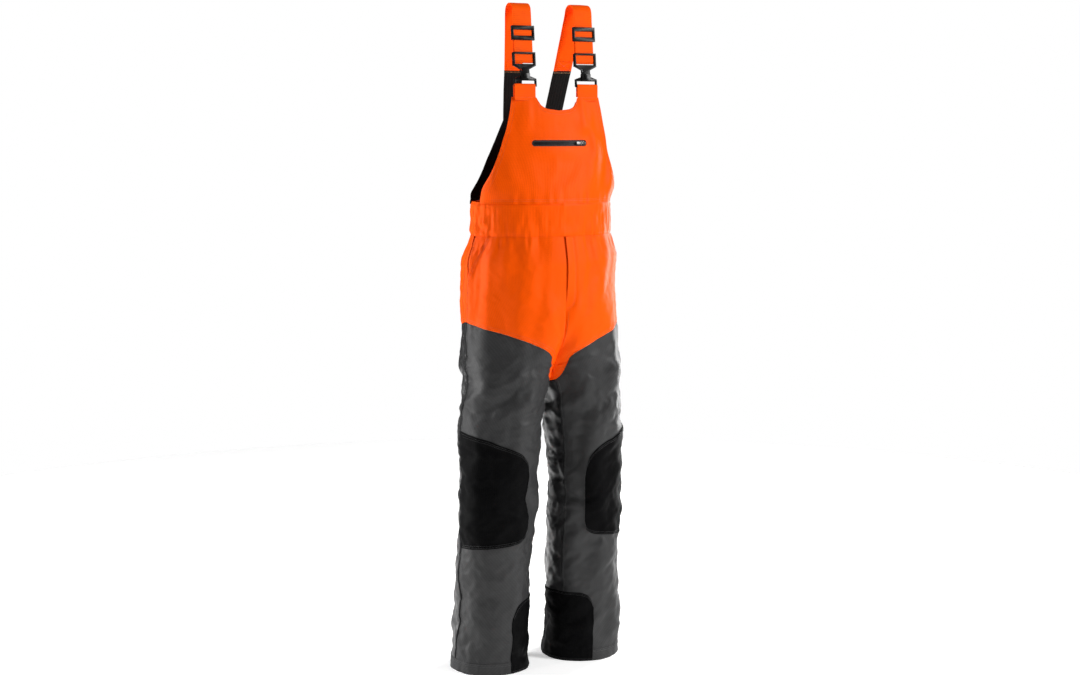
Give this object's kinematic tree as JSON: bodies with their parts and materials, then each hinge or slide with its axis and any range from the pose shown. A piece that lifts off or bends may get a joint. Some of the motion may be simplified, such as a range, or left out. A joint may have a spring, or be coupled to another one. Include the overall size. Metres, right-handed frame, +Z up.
{
  "type": "chainsaw protective bib trousers",
  "caption": "Chainsaw protective bib trousers with braces, knee and ankle reinforcement, chest-pocket zip, and adjustable shoulder straps with front buckles.",
  "frame": {"origin": "middle of the garment on the plane of the two hems", "axes": "+Z up, the front faces -Y, the wearer's left side is +X"},
  "size_m": [0.4166, 0.2604, 1.5173],
  "materials": {
    "orange_nylon": "plain-weave nylon with a soft sheen",
    "grey_twill": "twill-weave nylon",
    "grey_nylon": "light, slightly shiny nylon",
    "black_reinforcement": "dense coated weave",
    "black_piping": "corded seam tape",
    "black_stretch": "stretch knit",
    "black_elastic": "ribbed elastic",
    "orange_webbing": "fine-ribbed elastic webbing",
    "pocket_lining": "plain lining",
    "leg_lining": "mesh lining",
    "protective_fibre": "loose long-fibre layers",
    "black_plastic": "satin moulded",
    "zip_tape": "woven tape",
    "zip_metal": "dark nickel",
    "zip_coil": "moulded teeth"
  },
  "bodies": {
    "garment": {"left_leg_front": "grey_twill", "left_leg_back": "grey_nylon", "left_hem": "grey_twill", "left_hip_front": "orange_nylon", "left_hip_back": "orange_nylon", "left_knee_patch": "black_reinforcement", "left_ankle_guard": "black_reinforcement", "left_saw_protection": "protective_fibre", "left_leg_lining": "leg_lining", "left_side_piping": "black_piping", "left_pocket_facing": "orange_nylon", "left_pocket_bag": "pocket_lining", "left_back_strap": "black_elastic", "left_bib_tab": "orange_webbing", "left_buckle_lower": "black_plastic", "right_leg_front": "grey_twill", "right_leg_back": "grey_nylon", "right_hem": "grey_twill", "right_hip_front": "orange_nylon", "right_hip_back": "orange_nylon", "right_knee_patch": "black_reinforcement", "right_ankle_guard": "black_reinforcement", "right_saw_protection": "protective_fibre", "right_leg_lining": "leg_lining", "right_side_piping": "black_piping", "right_pocket_facing": "orange_nylon", "right_pocket_bag": "pocket_lining", "right_back_strap": "black_elastic", "right_bib_tab": "orange_webbing", "right_buckle_lower": "black_plastic", "waistband_front": "orange_nylon", "waistband_back": "orange_nylon", "waist_elastic": "black_elastic", "fly_placket": "orange_nylon", "fly_shield": "orange_nylon", "bib_front": "orange_nylon", "bib_facing": "orange_nylon", "bib_pocket_bag": "pocket_lining", "back_panel": "black_stretch", "bib_zip_tape": "zip_tape", "bib_zip_teeth": "zip_coil", "bib_zip_stops": "zip_metal", "fly_zip_tape": "zip_tape", "fly_zip_teeth": "zip_coil"},
    "left_strap": {"left_shoulder_strap": "orange_webbing", "left_strap_return": "orange_webbing", "left_buckle_upper": "black_plastic"},
    "right_strap": {"right_shoulder_strap": "orange_webbing", "right_strap_return": "orange_webbing", "right_buckle_upper": "black_plastic"},
    "left_adjuster": {"left_strap_adjuster": "black_plastic"},
    "right_adjuster": {"right_strap_adjuster": "black_plastic"},
    "bib_slider": {"bib_zip_slider": "zip_metal"},
    "bib_pull": {"bib_zip_pull": "zip_metal"},
    "fly_slider": {"fly_zip_slider": "zip_metal"},
    "fly_pull": {"fly_zip_pull": "zip_metal"}
  },
  "joints": [
    {"name": "left_strap_lift", "type": "hinge", "parent": "garment", "child": "left_strap", "pos_m": [0.068, 0.01712, 1.34718], "axis": [-1, 0, 0], "range_deg": [0, 150]},
    {"name": "right_strap_lift", "type": "hinge", "parent": "garment", "child": "right_strap", "pos_m": [-0.068, 0.01712, 1.34718], "axis": [-1, 0, 0], "range_deg": [0, 150]},
    {"name": "left_adjuster_slide", "type": "slide", "parent": "left_strap", "child": "left_adjuster", "axis": [0, 0.1011, 0.9949], "range_m": [-0.022, 0.024], "deforming": ["left_strap_return"]},
    {"name": "right_adjuster_slide", "type": "slide", "parent": "right_strap", "child": "right_adjuster", "axis": [0, 0.1011, 0.9949], "range_m": [-0.022, 0.024], "deforming": ["right_strap_return"]},
    {"name": "bib_zip_slide", "type": "hinge", "parent": "garment", "child": "bib_slider", "pos_m": [0, 0.18736, 1.18666], "axis": [0, -0.0802, -0.9968], "range_deg": [0, 23.2]},
    {"name": "bib_pull_swing", "type": "hinge", "parent": "bib_slider", "child": "bib_pull", "pos_m": [0.05892, -0.09873, 1.20968], "axis": [0, 0.0802, 0.9968], "range_deg": [0, 170]},
    {"name": "fly_zip_slide", "type": "hinge", "parent": "garment", "child": "fly_slider", "pos_m": [0.009, 0.484, 0.88], "axis": [1, 0, 0], "range_deg": [0, 12.4]},
    {"name": "fly_pull_swing", "type": "hinge", "parent": "fly_slider", "child": "fly_pull", "pos_m": [0.009, -0.1106, 0.98952], "axis": [-1, 0, 0], "range_deg": [0, 12]}
  ]
}
